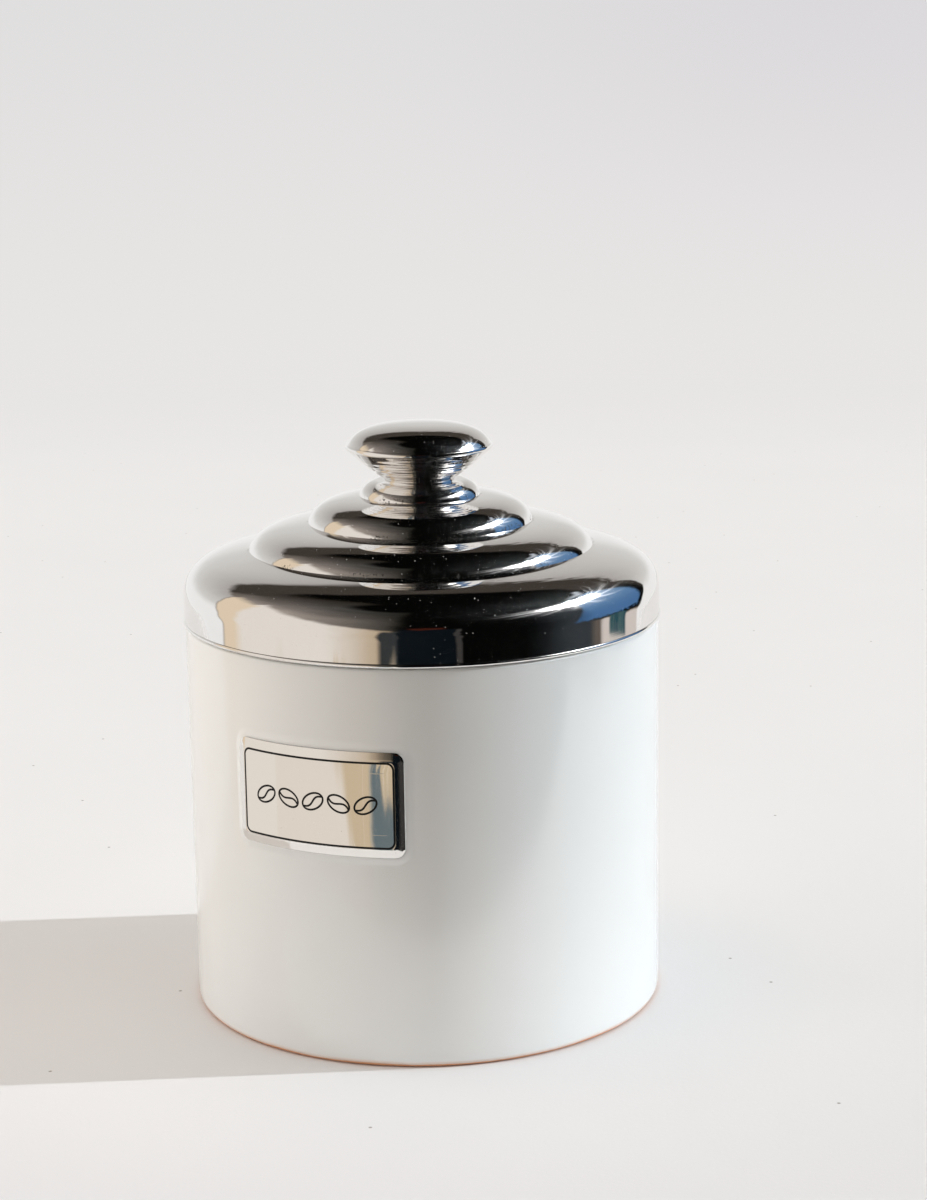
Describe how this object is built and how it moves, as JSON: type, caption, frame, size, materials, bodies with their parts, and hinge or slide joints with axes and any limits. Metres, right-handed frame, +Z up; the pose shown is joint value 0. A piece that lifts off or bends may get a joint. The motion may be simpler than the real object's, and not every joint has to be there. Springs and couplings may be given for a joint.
{
  "type": "storage canister",
  "caption": "Round glazed ceramic storage canister with a stepped polished metal lid, a turned knob and a curved metal label plate.",
  "frame": {"origin": "centre of the foot ring's underside, on the surface that the canister stands on", "axes": "+Z up along the lathe axis, the label plate faces -Y, +X to the right of someone who looks at the plate"},
  "size_m": [0.1212, 0.1218, 0.148],
  "materials": {
    "glaze": "glossy white glaze over orange clay, bare at the foot",
    "adhesive": "matt foam tape",
    "plate_metal": "polished",
    "black_enamel": "satin enamel",
    "lid_metal": "mirror polished, fine scratches and dust",
    "plug_plastic": "satin moulded",
    "fastener_steel": "bright",
    "knob_metal": "mirror polished",
    "silicone": "satin translucent silicone"
  },
  "bodies": {
    "jar": {"jar_body": "glaze", "label_pad": "adhesive", "label_plate": "plate_metal", "label_border": "black_enamel", "label_motif": "black_enamel"},
    "seal": {"seal_ring": "silicone"},
    "lid": {"lid_shell": "lid_metal", "lid_plug": "plug_plastic", "knob_washer": "fastener_steel", "lock_washer": "fastener_steel", "knob_screw": "fastener_steel", "knob": "knob_metal"}
  },
  "joints": [
    {"name": "lid_lift", "type": "slide", "parent": "jar", "child": "seal", "axis": [0, 0, 1], "range_m": [0, 0.06]},
    {"name": "lid_turn", "type": "hinge", "parent": "seal", "child": "lid", "pos_m": [0, 0, 0.0985], "axis": [0, 0, 1], "continuous": true}
  ]
}
